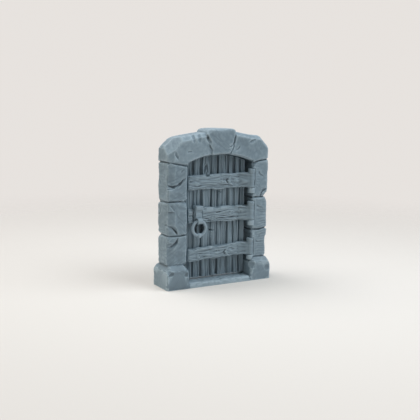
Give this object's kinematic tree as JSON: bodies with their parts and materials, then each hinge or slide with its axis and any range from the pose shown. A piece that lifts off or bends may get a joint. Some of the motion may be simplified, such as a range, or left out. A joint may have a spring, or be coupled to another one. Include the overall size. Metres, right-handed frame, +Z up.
{
  "type": "miniature arched door with stone frame",
  "caption": "Tabletop scenery door: an arched plank leaf with ledges and a ring pull, hinged in a carved stone frame with plinths, threshold and keystone.",
  "frame": {"origin": "on the table plane, under the middle of the stone frame's plinths", "axes": "+X to the viewer's right towards the hinges, -Y to the front that the leaf opens to, +Z up"},
  "size_m": [0.047, 0.0126, 0.061],
  "materials": {
    "frame_plastic": "matte blue-grey, moulded, faint layer lines",
    "leaf_plastic": "matte blue-grey, moulded, faint layer lines",
    "fittings_plastic": "matte blue-grey, moulded"
  },
  "bodies": {
    "frame": {"stone_frame": "frame_plastic", "hinge_pin_bottom": "fittings_plastic", "hinge_pin_middle": "fittings_plastic", "hinge_pin_top": "fittings_plastic"},
    "leaf": {"door_leaf": "leaf_plastic", "handle_strap": "fittings_plastic"},
    "ring": {"pull_ring": "fittings_plastic"}
  },
  "joints": [
    {"name": "door_swing", "type": "hinge", "parent": "frame", "child": "leaf", "pos_m": [0.0149, -0.0036, 0], "axis": [0, 0, 1], "range_deg": [0, 100]},
    {"name": "ring_swing", "type": "hinge", "parent": "leaf", "child": "ring", "pos_m": [-0.0086, -0.0036, 0.02559], "axis": [-1, 0, 0], "range_deg": [-8, 120]}
  ]
}
